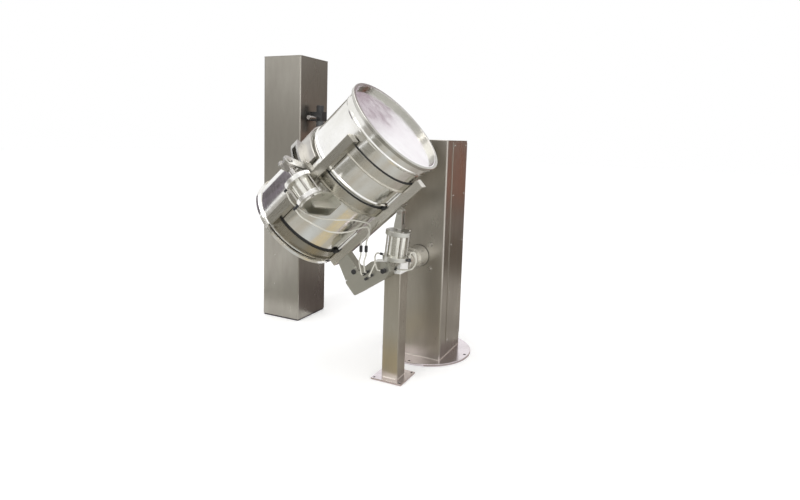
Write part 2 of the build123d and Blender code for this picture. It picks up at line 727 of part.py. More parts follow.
fork_gap = LUG_THICKNESS + 2 * SLIDING_GAP
with BuildPart() as tilt_fork:
    with BuildSketch(TILT_SIDE.offset(-fork_gap / 2 - FORK_CHEEK)):
        with Locations((0, TILT_LENGTH)):
            Circle(FORK_WIDTH / 2)
        with Locations((0, TILT_FORK_START)):
            Rectangle(FORK_FOOT, FORK_BASE, align=(Align.CENTER, Align.MIN))
        make_hull()
    extrude(amount=fork_gap + 2 * FORK_CHEEK)
    with BuildSketch(TILT_SIDE.offset(-fork_gap / 2)):
        with Locations((0, TILT_FORK_START + FORK_BASE)):
            Rectangle(2 * FORK_WIDTH, TILT_LENGTH, align=(Align.CENTER, Align.MIN))
    extrude(amount=fork_gap, mode=Mode.SUBTRACT)
    with BuildSketch(TILT_SIDE.offset(-fork_gap / 2 - FORK_CHEEK)):
        with Locations((0, TILT_LENGTH)):
            Circle(LINK_PIN / 2)
    extrude(amount=fork_gap + 2 * FORK_CHEEK, mode=Mode.SUBTRACT)
tilt_fork.part.label = "tilt_fork"

with BuildPart() as link_pin:
    with BuildSketch(TILT_SIDE.offset(-fork_gap / 2 - FORK_CHEEK)):
        with Locations((0, TILT_LENGTH)):
            Circle(LINK_PIN / 2)
    extrude(amount=fork_gap + 2 * FORK_CHEEK)
    with BuildSketch(TILT_SIDE.offset(fork_gap / 2 + FORK_CHEEK)):
        with Locations((0, TILT_LENGTH)):
            Circle(LINK_PIN / 2 + 3)
    extrude(amount=4)
link_pin.part.label = "link_pin"

# Cradle: knee, rails and bands
with BuildPart() as cradle_knee:
    knee_half = ARM_THICKNESS / 2 - ARM_CHEEK - JOINT_GAP
    with BuildSketch(side(-knee_half)):
        Polygon(
            (KNEE_FOOT[0], -RAIL_FACE),
            (KNEE_FOOT[1], -RAIL_FACE),
            (HINGE_ALONG + KNEE_RADIUS, -HINGE_BELOW),
            (HINGE_ALONG, -HINGE_BELOW - KNEE_RADIUS),
            (KNEE_HEEL[0], -KNEE_HEEL[1]),
            align=None,
        )
        with Locations((HINGE_ALONG, -HINGE_BELOW)):
            Circle(KNEE_RADIUS)
            Circle(HINGE_PIN / 2 + RUNNING_FIT, mode=Mode.SUBTRACT)
    extrude(amount=2 * knee_half)
cradle_knee.part.label = "cradle_knee"

with BuildPart() as side_rails:
    with BuildSketch(section(SIDE_RAIL_ENDS[0])):
        with Locations((RAIL_CENTRE, 0), (-RAIL_CENTRE, 0)):
            RectangleRounded(RAIL, RAIL, 4)
            RectangleRounded(RAIL - 2 * RAIL_WALL, RAIL - 2 * RAIL_WALL, 1, mode=Mode.SUBTRACT)
    extrude(amount=SIDE_RAIL_ENDS[1] - SIDE_RAIL_ENDS[0])
    with BuildSketch(section(SIDE_RAIL_ENDS[1] - RAIL_PLUG)):
        with Locations((RAIL_CENTRE, 0), (-RAIL_CENTRE, 0)):
            Rectangle(RAIL - RAIL_WALL, RAIL - RAIL_WALL)
    extrude(amount=RAIL_PLUG)
side_rails.part.label = "side_rails"

with BuildPart() as bottom_rail:
    with BuildSketch(section(BOTTOM_RAIL_ENDS[0])):
        with Locations((0, RAIL_CENTRE)):
            RectangleRounded(RAIL, RAIL, 4)
            RectangleRounded(RAIL - 2 * RAIL_WALL, RAIL - 2 * RAIL_WALL, 1, mode=Mode.SUBTRACT)
    extrude(amount=BOTTOM_RAIL_ENDS[1] - BOTTOM_RAIL_ENDS[0])
    with BuildSketch(section(BOTTOM_RAIL_ENDS[1] - RAIL_PLUG)):
        with Locations((0, RAIL_CENTRE)):
            Rectangle(RAIL - RAIL_WALL, RAIL - RAIL_WALL)
    extrude(amount=RAIL_PLUG)
bottom_rail.part.label = "bottom_rail"


def rail_room():
    """The space that the three rails take, cut out of the band flanges."""
    with BuildPart() as room:
        with BuildSketch(section(-DRUM_HALF)):
            with Locations((RAIL_CENTRE, 0), (-RAIL_CENTRE, 0), (0, RAIL_CENTRE)):
                Rectangle(RAIL, RAIL)
        extrude(amount=DRUM_LENGTH)
    return room.part


def cradle_band(name):
    """Half ring under the drum with a turned-out lower edge."""
    low = BAND_CENTRES[name] - BAND_WIDTH / 2
    angles = (-BAND_OVERHANG, 180 + BAND_OVERHANG)
    with BuildPart() as band:
        add(curved_plate(BAND_INNER, BAND_OUTER, angles, (low, low + BAND_WIDTH)))
        add(curved_plate(BAND_OUTER, BAND_OUTER + BAND_FLANGE, angles, (low, low + BAND_FLANGE_WALL)))
        add(rail_room(), mode=Mode.SUBTRACT)
    return band.part


with BuildPart() as top_band:
    add(cradle_band("top"))
top_band.part.label = "top_band"

with BuildPart() as middle_band:
    add(cradle_band("middle"))
middle_band.part.label = "middle_band"

with BuildPart() as bottom_band:
    add(cradle_band("bottom"))
bottom_band.part.label = "bottom_band"

with BuildPart() as rubber_linings:
    for name, centre in BAND_CENTRES.items():
        low = centre - BAND_WIDTH / 2
        high = centre + BAND_WIDTH / 2
        angles = (-BAND_OVERHANG + 1, 180 + BAND_OVERHANG - 1)
        add(curved_plate(BAND_INNER - LINING, BAND_INNER, angles, (low + 6, high + LINING_PROUD[name])))
    for name, angles in STOP_ANGLES.items():
        high = BAND_CENTRES[name] + BAND_WIDTH / 2
        stop_ends = (high, high + STOP_LENGTH)
        add(curved_plate(BAND_INNER + STOP_LIFT, BAND_INNER + STOP_HEIGHT, angles, stop_ends))
rubber_linings.part.label = "rubber_linings"

with BuildPart() as wear_strips:
    for start, stop in (LOWER_STRIP, UPPER_STRIP):
        with BuildSketch(section(start)):
            with Locations((RAIL / 2 - STRIP, BAND_OUTER)):
                Rectangle(STRIP, STRIP, align=(Align.MIN, Align.MAX))
        extrude(amount=stop - start)
wear_strips.part.label = "wear_strips"

with BuildPart() as link_lug:
    pad_front = TILT_FRONT + LUG_THICKNESS / 2
    with BuildSketch(section(LINK_ALONG - 32)):
        with Locations((-RAIL / 2, RAIL_FACE)):
            Rectangle(pad_front + RAIL / 2, LUG_PAD, align=(Align.MIN, Align.MIN))
    extrude(amount=64)
    with BuildSketch(side(TILT_FRONT - LUG_THICKNESS / 2)):
        with Locations((LINK_ALONG, -LINK_BELOW)):
            Circle(LINK_PIN)
        with Locations((LINK_ALONG, -RAIL_FACE - LUG_PAD)):
            Rectangle(40, 1, align=(Align.CENTER, Align.MAX))
        make_hull()
        with Locations((LINK_ALONG, -LINK_BELOW)):
            Circle(LINK_PIN / 2 + LINK_PLAY, mode=Mode.SUBTRACT)
    extrude(amount=LUG_THICKNESS)
link_lug.part.label = "link_lug"

# Clamp cylinder on its bracket
with BuildPart() as clamp_mount:
    with BuildSketch(Plane(origin=place(0, CLAMP_BOTTOM, 0), x_dir=FRONT, z_dir=BELOW)):
        with Locations((CLAMP_FRONT, -CLAMP_ALONG)):
            Circle(CAP_RADIUS - MOUNT_INSET)
        with Locations((MOUNT_BACK, -MOUNT_ENDS[1])):
            Rectangle(MOUNT_RIB, MOUNT_ENDS[1] - MOUNT_ENDS[0], align=(Align.MIN, Align.MIN))
        make_hull()
    extrude(amount=MOUNT_PLATE)
    gusset_top = CLAMP_BOTTOM + MOUNT_PLATE
    with BuildSketch(side(MOUNT_BACK)):
        with Locations((MOUNT_ENDS[0], -gusset_top)):
            Rectangle(MOUNT_ENDS[1] - MOUNT_ENDS[0], MOUNT_BACK_DEPTH, align=(Align.MIN, Align.MAX))
    extrude(amount=MOUNT_RIB)
    for start in (MOUNT_ENDS[0], CLAMP_ALONG - MOUNT_RIB / 2):
        with BuildSketch(section(start)):
            Polygon(
                (MOUNT_BACK, gusset_top),
                (CLAMP_FRONT + MOUNT_NOSE, gusset_top),
                (CLAMP_FRONT + MOUNT_NOSE, gusset_top + MOUNT_FRONT_DEPTH),
                (MOUNT_BACK + 4 * MOUNT_RIB, gusset_top + MOUNT_BACK_DEPTH),
                (MOUNT_BACK, gusset_top + MOUNT_BACK_DEPTH),
                align=None,
            )
        extrude(amount=MOUNT_RIB)
    add(drum_cylinder(BAND_OUTER, (-DRUM_HALF, DRUM_HALF)), mode=Mode.SUBTRACT)
    flange_start = BAND_CENTRES["middle"] - BAND_WIDTH / 2
    flange_ends = (flange_start, flange_start + BAND_FLANGE_WALL)
    add(drum_cylinder(BAND_OUTER + BAND_FLANGE, flange_ends), mode=Mode.SUBTRACT)
    with BuildSketch(CLAMP_END.offset(-MOUNT_PLATE)):
        with PolarLocations(TIE_CIRCLE / 2, 4, start_angle=45):
            Circle(TIE_NUT / 2 + SLIDING_GAP)
    extrude(amount=MOUNT_PLATE, mode=Mode.SUBTRACT)
clamp_mount.part.label = "clamp_mount"

with BuildPart() as clamp_end_caps:
    add(cylinder_caps(CLAMP_END, 0, CLAMP_BARREL, tilt_bore))
clamp_end_caps.part.label = "clamp_end_caps"

with BuildPart() as clamp_barrel:
    add(cylinder_barrel(CLAMP_END, 0, CLAMP_BARREL))
clamp_barrel.part.label = "clamp_barrel"

with BuildPart() as clamp_tie_rods:
    add(cylinder_tie_rods(CLAMP_END, 0, CLAMP_BARREL))
clamp_tie_rods.part.label = "clamp_tie_rods"

# Rod of the clamp cylinder with its eye and pin
pin_height = CLAMP_BOTTOM - CLAMP_PIN_BELOW
eye_foot = pin_height - ROD_EYE_RADIUS - ROD_EYE_FOOT
with BuildPart() as clamp_rod:
    piston_height = CAP_THICKNESS + CLAMP_STROKE + 2
    with BuildSketch(CLAMP_END.offset(piston_height)):
        Circle(BARREL_DIAMETER / 2 - BARREL_WALL - 0.3)
    extrude(amount=PISTON)
    with BuildSketch(CLAMP_END.offset(piston_height + PISTON)):
        Circle(ROD_DIAMETER / 2)
    extrude(amount=eye_foot - piston_height - PISTON)
    with BuildSketch(section(CLAMP_ALONG - ROD_EYE / 2 + SLIDING_GAP)):
        with Locations((CLAMP_FRONT, CLAMP_PIN_BELOW)):
            Circle(ROD_EYE_RADIUS)
            Rectangle(2 * ROD_EYE_RADIUS, ROD_EYE_RADIUS + ROD_EYE_FOOT, align=(Align.CENTER, Align.MIN))
            Circle(CLAMP_PIN / 2, mode=Mode.SUBTRACT)
    extrude(amount=ROD_EYE - 2 * SLIDING_GAP)
clamp_rod.part.label = "clamp_rod"

lever_half = ROD_EYE / 2 + LEVER_PLATE
with BuildPart() as clamp_pin:
    with BuildSketch(section(CLAMP_ALONG - lever_half - SLIDING_GAP)):
        with Locations((CLAMP_FRONT, CLAMP_PIN_BELOW)):
            Circle(CLAMP_PIN / 2)
    extrude(amount=2 * lever_half + 2 * SLIDING_GAP)
    for start in (-lever_half - SLIDING_GAP - 4, lever_half + SLIDING_GAP):
        with BuildSketch(section(CLAMP_ALONG + start)):
            with Locations((CLAMP_FRONT, CLAMP_PIN_BELOW)):
                Circle(CLAMP_PIN / 2 + 4)
        extrude(amount=4)
clamp_pin.part.label = "clamp_pin"

# Jaw hinge on the front rail
with BuildPart() as hinge_lugs:
    for centre in JAW_LUG_CENTRES:
        with BuildSketch(section(centre - JAW_LUG / 2)):
            with Locations((JAW_HINGE_FRONT, JAW_HINGE_BELOW)):
                Circle(JAW_BARREL)
            with Locations((RAIL_CENTRE, -RAIL / 2)):
                Rectangle(RAIL - 6, 1, align=(Align.CENTER, Align.MAX))
            make_hull()
            with Locations((JAW_HINGE_FRONT, JAW_HINGE_BELOW)):
                Circle(JAW_HINGE_PIN / 2, mode=Mode.SUBTRACT)
        extrude(amount=JAW_LUG)
hinge_lugs.part.label = "hinge_lugs"

with BuildPart() as hinge_pin:
    pin_start = JAW_LUG_CENTRES[0] - JAW_LUG / 2 - 5
    pin_stop = JAW_LUG_CENTRES[1] + JAW_LUG / 2 + 5
    with BuildSketch(section(pin_start)):
        with Locations((JAW_HINGE_FRONT, JAW_HINGE_BELOW)):
            Circle(JAW_HINGE_PIN / 2)
    extrude(amount=pin_stop - pin_start)
    chamfer(hinge_pin.edges().filter_by(GeomType.CIRCLE), length=1.5)
hinge_pin.part.label = "hinge_pin"

strap_inner = DRUM_RADIUS + JAW_PAD_GAP + JAW_PAD
strap_outer = strap_inner + JAW_STRAP
reach_front = CLAMP_FRONT - JAW_HINGE_FRONT
reach_up = JAW_HINGE_BELOW - CLAMP_PIN_BELOW
lever_angle = atan2(reach_up, reach_front)
lever_reach = hypot(reach_front, reach_up)
with BuildPart() as jaw_lever:
    barrel_start = JAW_LUG_CENTRES[0] + JAW_LUG / 2 + JOINT_GAP
    barrel_stop = JAW_LUG_CENTRES[1] - JAW_LUG / 2 - JOINT_GAP
    with BuildSketch(section(barrel_start)):
        with Locations((JAW_HINGE_FRONT, JAW_HINGE_BELOW)):
            Circle(JAW_BARREL)
    extrude(amount=barrel_stop - barrel_start)
    for start in (-lever_half, ROD_EYE / 2):
        low = CLAMP_ALONG + start
        with BuildSketch(section(low)):
            with Locations((JAW_HINGE_FRONT, JAW_HINGE_BELOW)):
                Circle(JAW_BARREL)
            with Locations((CLAMP_FRONT, CLAMP_PIN_BELOW)):
                Circle(LEVER_BOSS)
            make_hull()
        extrude(amount=LEVER_PLATE)
        add(curved_plate(strap_outer, strap_outer + RIB_HEIGHT, RIB_ANGLES, (low, low + LEVER_PLATE)))
    add(
        curved_plate(
            strap_outer,
            strap_outer + RIB_HEIGHT,
            (RIB_ANGLES[0], RIB_ANGLES[0] + 7),
            (CLAMP_ALONG - ROD_EYE / 2, CLAMP_ALONG + ROD_EYE / 2),
        )
    )
    with BuildSketch(section(CLAMP_ALONG - lever_half)):
        near = reach_front - CLAMP_SLOT_PLAY
        middle = (near + lever_reach + CLAMP_SLOT_PLAY) / 2
        slot_at = (JAW_HINGE_FRONT + middle * cos(lever_angle), JAW_HINGE_BELOW - middle * sin(lever_angle))
        with Locations(slot_at):
            SlotCenterToCenter(
                lever_reach + CLAMP_SLOT_PLAY - near,
                CLAMP_PIN + 2 * CLAMP_SLOT_PLAY,
                rotation=-degrees(lever_angle),
            )
    extrude(amount=2 * lever_half, mode=Mode.SUBTRACT)
    with BuildSketch(section(barrel_start)):
        with Locations((JAW_HINGE_FRONT, JAW_HINGE_BELOW)):
            Circle(JAW_HINGE_PIN / 2 + RUNNING_FIT)
    extrude(amount=barrel_stop - barrel_start, mode=Mode.SUBTRACT)
jaw_lever.part.label = "jaw_lever"

with BuildPart() as jaw_strap:
    add(curved_plate(strap_inner, strap_outer, JAW_ANGLES, JAW_ENDS))
jaw_strap.part.label = "jaw_strap"

with BuildPart() as jaw_pad:
    add(
        curved_plate(
            strap_inner - JAW_PAD,
            strap_inner,
            (JAW_ANGLES[0] + 2, JAW_ANGLES[1] - 3),
            (JAW_ENDS[0] + PAD_INSET, JAW_ENDS[1] - PAD_INSET),
        )
    )
jaw_pad.part.label = "jaw_pad"

# Air ports and tubes
PORT_RADIUS = 7
CLAMP_UPPER_PORT = (440, CLAMP_BOTTOM - 1.5 * CAP_THICKNESS - CLAMP_BARREL)
CLAMP_LOWER_PORT = (455, CLAMP_BOTTOM - CAP_THICKNESS / 2)
CLAMP_UPPER_PORT_END = -99
CLAMP_LOWER_PORT_END = -104
COUPLING_RADIUS = 9
COUPLING_BODY = 36
LOWER_COUPLING = place(47.5, 400, -136)
UPPER_COUPLING = place(52.5, 381, -159)

with BuildPart() as clamp_ports:
    for port, end in ((CLAMP_UPPER_PORT, CLAMP_UPPER_PORT_END), (CLAMP_LOWER_PORT, CLAMP_LOWER_PORT_END)):
        with BuildSketch(section(end)):
            with Locations(port):
                Circle(PORT_RADIUS)
        extrude(amount=CLAMP_ALONG - CAP_RADIUS * 0.7 - end)
    add(clamp_end_caps.part, mode=Mode.SUBTRACT)
clamp_ports.part.label = "clamp_ports"

with BuildPart() as tube_couplings:
    for middle in (LOWER_COUPLING, UPPER_COUPLING):
        with BuildSketch(Plane(origin=middle - Vector(0, 0, COUPLING_BODY / 2))):
            Circle(COUPLING_RADIUS)
        extrude(amount=COUPLING_BODY)
    chamfer(tube_couplings.edges().filter_by(GeomType.CIRCLE), length=1.5)
tube_couplings.part.label = "tube_couplings"

with BuildPart() as clamp_tubes:
    add(
        air_tube(
            place(CLAMP_UPPER_PORT[0], CLAMP_UPPER_PORT[1] + PORT_RADIUS, -91),
            place(450, 52, -98),
            place(432, 112, -92),
            place(392, 181, -71),
            place(317, 239, -31),
            place(232, 268, -5),
            place(147, 297, -3),
            place(68, 316, -13),
            place(36, 340, -62),
            place(40, 352, -104),
            UPPER_COUPLING + Vector(0, 0, COUPLING_BODY / 2 + 20),
            UPPER_COUPLING + Vector(0, 0, COUPLING_BODY / 2),
        )
    )
    add(
        air_tube(
            place(CLAMP_LOWER_PORT[0], CLAMP_LOWER_PORT[1] + PORT_RADIUS, -97),
            place(453, 150, -96),
            place(423, 212, -80),
            place(368, 267, -77),
            place(298, 300, -63),
            place(218, 315, -46),
            place(138, 316, -29),
            place(80, 322, -30),
            place(56, 352, -56),
            LOWER_COUPLING + Vector(0, 0, COUPLING_BODY / 2 + 24),
            LOWER_COUPLING + Vector(0, 0, COUPLING_BODY / 2),
        )
    )
clamp_tubes.part.label = "clamp_tubes"

tube_y = DRUM_Y - ARM_THICKNESS / 2 - FITTING_LENGTH - 2 * FITTING_RADIUS
fittings = [place(ARM_THICKNESS / 2 + FITTING_LENGTH, below, along) for along, below in ARM_FITTINGS]
with BuildPart() as arm_tubes:
    for coupling, fitting in ((UPPER_COUPLING, fittings[0]), (LOWER_COUPLING, fittings[1])):
        start = coupling - Vector(0, 0, COUPLING_BODY / 2)
        below = start - Vector(0, 0, 20)
        low = Vector(start.X, tube_y, start.Z - 50)
        turn = Vector(fitting.X, tube_y, fitting.Z)
        add(air_tube(start, below, low, turn, fitting))
arm_tubes.part.label = "arm_tubes"

# Ports at both sides of the tilt cylinder's lower cap, and their tubes
PORT_LENGTH = 24
PORT_ELBOW = 14
tilt_across = FRONT.cross(TILT_AXIS)
port_height = TILT_AXIS * (TILT_CAP_REACH + CAP_THICKNESS / 2)
port_root = CAP_RADIUS - 6
left_port = FOOT + port_height + tilt_across * (CAP_RADIUS + PORT_LENGTH)
right_port = FOOT + port_height - tilt_across * (CAP_RADIUS + PORT_ELBOW)
union_side = union_centre - Vector(UNION_RADIUS, 0, 0)

with BuildPart() as tilt_ports:
    with BuildSketch(Plane(origin=left_port, z_dir=tilt_across * -1)):
        Circle(PORT_RADIUS)
    extrude(amount=PORT_LENGTH + 6)
    with BuildSketch(Plane(origin=right_port - tilt_across * PORT_RADIUS, z_dir=tilt_across)):
        Circle(PORT_RADIUS)
    extrude(amount=PORT_ELBOW + PORT_RADIUS + 6)
    with BuildSketch(Plane(origin=right_port, z_dir=TILT_AXIS)):
        Circle(PORT_RADIUS - 1)
    extrude(amount=PORT_ELBOW)
    add(tilt_end_caps.part, mode=Mode.SUBTRACT)
tilt_ports.part.label = "tilt_ports"

with BuildPart() as tilt_tubes:
    tube_foot = fittings[3]
    tee = Vector(-44, tube_y, SHAFT_HEIGHT + 41)
    port_side = left_port + tilt_across * 20
    add(
        air_tube(
            tube_foot,
            Vector(tube_foot.X, tube_y, tube_foot.Z),
            tee,
            Vector(port_side.X, (tube_y + left_port.Y) / 2, port_side.Z - 14),
            port_side,
            left_port,
        )
    )
    add(air_tube(tee, Vector(-38, union_y, SHAFT_HEIGHT), union_side))
    loop_start = right_port + TILT_AXIS * PORT_ELBOW
    add(
        air_tube(
            loop_start,
            loop_start + TILT_AXIS * 32,
            loop_start + Vector(27, 6, 34),
            loop_start + Vector(34, 16, -20),
            END_FITTING + Vector(104, 4, 6),
            END_FITTING + Vector(50, 0, 0),
            END_FITTING + Vector(FITTING_LENGTH, 0, 0),
        )
    )
tilt_tubes.part.label = "tilt_tubes"

# Drum, lid and closing ring
with BuildPart() as drum_shell:
    r = DRUM_RADIUS
    h = DRUM_HALF
    chime = CHIME_DIAMETER / 2
    rim = RIM_DIAMETER / 2
    neck = -h + CHIME_HEIGHT + NECK
    outside = [
        (0, BOTTOM_RISE - h),
        (r - BOTTOM_RISE, BOTTOM_RISE - h),
        (r - CHIME_LIP, -h),
        (chime, -h),
        (chime, CHIME_HEIGHT - h),
        (r, neck),
    ]
    ridges = [(hoop, HOOP_PROUD) for hoop in HOOP_HEIGHTS] + [(h - BEAD_FROM_TOP, BEAD_PROUD)]
    for height, proud in ridges:
        outside += [
            (r, height - HOOP_HALF),
            (r + proud, height - HOOP_FLAT),
            (r + proud, height + HOOP_FLAT),
            (r, height + HOOP_HALF),
        ]
    outside += [(r, h - CHIME_HEIGHT - NECK), (rim, h - CHIME_HEIGHT), (rim, h)]
    inside_wall = [(r - DRUM_WALL, h), (r - DRUM_WALL, neck), (0, BOTTOM_RISE - h + 2 * DRUM_WALL)]
    with BuildSketch(profile()):
        Polygon(*(outside + inside_wall), align=None)
    revolve(axis=Axis(DRUM_CENTRE, ALONG))
drum_shell.part.label = "drum_shell"

with BuildPart() as drum_lid:
    well = r - DRUM_WALL - LID_GAP
    with BuildSketch(profile()):
        Polygon(
            (0, h - LID_RECESS),
            (well, h - LID_RECESS),
            (well, h),
            (rim, h),
            (rim, h + LID_SHEET),
            (well - LID_SHEET, h + LID_SHEET),
            (well - LID_SHEET, h - LID_RECESS + LID_SHEET),
            (0, h - LID_RECESS + LID_SHEET),
            align=None,
        )
    revolve(axis=Axis(DRUM_CENTRE, ALONG))
drum_lid.part.label = "drum_lid"

with BuildPart() as closing_ring:
    lip = rim - RING_LIP
    top = h + LID_SHEET
    low = top - RING_HEIGHT
    wall = rim + SLIDING_GAP
    ring_outer = wall + RING_WALL
    with BuildSketch(profile()):
        Polygon(
            (wall, top),
            (lip, top),
            (lip, top + RING_TOP),
            (ring_outer - RING_BEVEL, top + RING_TOP),
            (ring_outer, top + RING_TOP - RING_BEVEL),
            (ring_outer, low + RING_BEVEL),
            (ring_outer - RING_BEVEL, low),
            (wall, low),
            align=None,
        )
    revolve(axis=Axis(DRUM_CENTRE, ALONG))
closing_ring.part.label = "closing_ring"

PIECES = [
    drive_column_shell, drive_column_cap, drive_column_cover, panel_screws, round_base_plate,
    hub_housing, hub_bolts, main_shaft, shaft_coupling, support_post, post_base_plate, bearing_block,
    tall_column_shell, tall_column_plinth, tall_column_cap,
    service_body, service_bowl, regulator_knob, shutoff_valve,
    swing_arm, pivot_pin, foot_pin, rotary_union, arm_fittings,
    tilt_end_caps, tilt_barrel, tilt_tie_rods, tilt_rod, tilt_fork, link_pin,
    cradle_knee, side_rails, bottom_rail, top_band, middle_band, bottom_band,
    rubber_linings, wear_strips, link_lug,
    clamp_mount, clamp_end_caps, clamp_barrel, clamp_tie_rods, clamp_rod, clamp_pin,
    hinge_lugs, hinge_pin, jaw_lever, jaw_strap, jaw_pad,
    drum_shell, drum_lid, closing_ring,
    clamp_ports, tube_couplings, clamp_tubes, arm_tubes, tilt_ports, tilt_tubes,
]
for piece in PIECES:
    print(piece.part.label, round(piece.part.volume), len(piece.part.solids()))
    export_step(piece.part, f"parts/{piece.part.label}.step")
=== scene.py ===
import math

import bpy
from mathutils import Matrix, Vector


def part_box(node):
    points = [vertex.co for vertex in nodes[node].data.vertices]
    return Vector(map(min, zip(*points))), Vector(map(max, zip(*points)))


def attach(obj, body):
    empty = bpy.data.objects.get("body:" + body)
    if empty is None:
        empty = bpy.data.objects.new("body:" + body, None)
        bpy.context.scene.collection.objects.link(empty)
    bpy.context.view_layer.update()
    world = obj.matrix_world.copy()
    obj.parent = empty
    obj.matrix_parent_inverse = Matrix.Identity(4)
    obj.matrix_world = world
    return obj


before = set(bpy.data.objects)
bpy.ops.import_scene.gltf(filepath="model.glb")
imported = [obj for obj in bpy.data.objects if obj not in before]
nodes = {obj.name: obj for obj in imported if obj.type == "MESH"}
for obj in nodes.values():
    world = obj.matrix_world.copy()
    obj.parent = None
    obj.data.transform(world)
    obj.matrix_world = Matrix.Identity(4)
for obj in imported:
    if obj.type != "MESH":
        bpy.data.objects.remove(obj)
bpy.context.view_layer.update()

# Directions on the machine, and the one along the tilted drum
UP = (0, 0, 1)
ALONG_SHAFT = (0, 1, 0)
ACROSS_SHAFT = (1, 0, 0)
CRADLE_ANGLE = math.radians(42.5)
ALONG_DRUM = (math.cos(CRADLE_ANGLE), 0, math.sin(CRADLE_ANGLE))

# Sockets of a colour Mix node, which its names don't tell apart
MIX_FACTOR = 0
MIX_FIRST = 6
MIX_SECOND = 7
MIX_RESULT = 2


def node_of_type(tree, kind):
    return next(node for node in tree.nodes if node.type == kind)


def new_material(name, colour, metallic, roughness):
    """A material with its principled shader set to plain values."""
    material = bpy.data.materials.new(name)
    material.use_nodes = True
    shader = node_of_type(material.node_tree, "BSDF_PRINCIPLED")
    shader.inputs["Base Color"].default_value = (*colour, 1)
    shader.inputs["Metallic"].default_value = metallic
    shader.inputs["Roughness"].default_value = roughness
    return material, material.node_tree, shader


def grain_vector(tree, direction, across, along):
    """Object coordinates turned so that X runs along the grain, then stretched."""
    coord = tree.nodes.new("ShaderNodeTexCoord")
    turn = tree.nodes.new("ShaderNodeMapping")
    turn.vector_type = "TEXTURE"
    turned = Vector((1, 0, 0)).rotation_difference(Vector(direction))
    turn.inputs["Rotation"].default_value = turned.to_euler()
    stretch = tree.nodes.new("ShaderNodeMapping")
    stretch.inputs["Scale"].default_value = (along, across, across)
    tree.links.new(coord.outputs["Object"], turn.inputs["Vector"])
    tree.links.new(turn.outputs["Vector"], stretch.inputs["Vector"])
    return stretch.outputs["Vector"]


def noise(tree, vector, scale=1.0, detail=4, rough=0.55):
    node = tree.nodes.new("ShaderNodeTexNoise")
    node.inputs["Scale"].default_value = scale
    node.inputs["Detail"].default_value = detail
    node.inputs["Roughness"].default_value = rough
    tree.links.new(vector, node.inputs["Vector"])
    return node.outputs["Fac"]


def ramp(tree, factor, low, high, start=0.35, stop=0.65):
    """Factor between start and stop, turned into a range from low to high."""
    node = tree.nodes.new("ShaderNodeMapRange")
    node.inputs["From Min"].default_value = start
    node.inputs["From Max"].default_value = stop
    node.inputs["To Min"].default_value = low
    node.inputs["To Max"].default_value = high
    tree.links.new(factor, node.inputs["Value"])
    return node.outputs["Result"]


def calculate(tree, operation, *values):
    """A Math node, where each value is a socket or a number."""
    node = tree.nodes.new("ShaderNodeMath")
    node.operation = operation
    for socket, value in zip(node.inputs, values):
        if isinstance(value, bpy.types.NodeSocket):
            tree.links.new(value, socket)
        else:
            socket.default_value = value
    return node.outputs["Value"]


def blend_colours(tree, factor, first, second):
    node = tree.nodes.new("ShaderNodeMix")
    node.data_type = "RGBA"
    node.inputs[MIX_FIRST].default_value = (*first, 1)
    node.inputs[MIX_SECOND].default_value = (*second, 1)
    tree.links.new(factor, node.inputs[MIX_FACTOR])
    return node.outputs[MIX_RESULT]


def bump(tree, height, strength, distance, edge):
    """Relief from a height, over edges rounded by the given radius."""
    node = tree.nodes.new("ShaderNodeBump")
    node.inputs["Strength"].default_value = strength
    node.inputs["Distance"].default_value = distance
    tree.links.new(height, node.inputs["Height"])
    if edge:
        rounded = tree.nodes.new("ShaderNodeBevel")
        rounded.samples = 4
        rounded.inputs["Radius"].default_value = edge
        tree.links.new(rounded.outputs["Normal"], node.inputs["Normal"])
    return node.outputs["Normal"]


# Brushed metal: how much the fine grain and the broad smears count
GRAIN_SHARE = 0.45
SMEAR_SHARE = 0.55
GRAIN_DEPTH = 0.0004


def brushed_metal(
    name, light, dark, rough, direction, grain=700, streak=6, edge=0.0012, relief=0.12, metallic=1.0
):
    """Metal with a fine grain along one direction and broad soft smears."""
    material, tree, shader = new_material(name, light, metallic, sum(rough) / 2)
    fine = noise(tree, grain_vector(tree, direction, grain, streak), detail=3, rough=0.6)
    smear = noise(tree, grain_vector(tree, direction, across=9, along=2.5), rough=0.6)
    smeared = ramp(tree, smear, 0, SMEAR_SHARE, start=0.3, stop=0.7)
    both = calculate(tree, "MULTIPLY_ADD", fine, GRAIN_SHARE, smeared)
    gloss = ramp(tree, both, rough[1], rough[0], start=0.1, stop=0.9)
    tree.links.new(blend_colours(tree, both, dark, light), shader.inputs["Base Color"])
    tree.links.new(gloss, shader.inputs["Roughness"])
    tree.links.new(bump(tree, fine, relief, GRAIN_DEPTH, edge), shader.inputs["Normal"])
    return material


def polished_metal(name, light, dark, rough, waves=5, depth=0.002, edge=0.001):
    """Bright sheet metal with shallow waves, cloudy patches and fine scuffs."""
    material, tree, shader = new_material(name, light, 1.0, rough[0])
    cloud = noise(tree, grain_vector(tree, ALONG_DRUM, across=3, along=3), detail=5, rough=0.62)
    scuff = noise(tree, grain_vector(tree, ALONG_DRUM, across=14, along=160), rough=0.6)
    wave = noise(tree, grain_vector(tree, ALONG_DRUM, waves, waves * 0.6), detail=1, rough=0.3)
    colour = blend_colours(tree, ramp(tree, cloud, 0, 1), dark, light)
    tree.links.new(colour, shader.inputs["Base Color"])
    tree.links.new(ramp(tree, scuff, *rough), shader.inputs["Roughness"])
    tree.links.new(bump(tree, wave, strength=0.5, distance=depth, edge=edge), shader.inputs["Normal"])
    return material


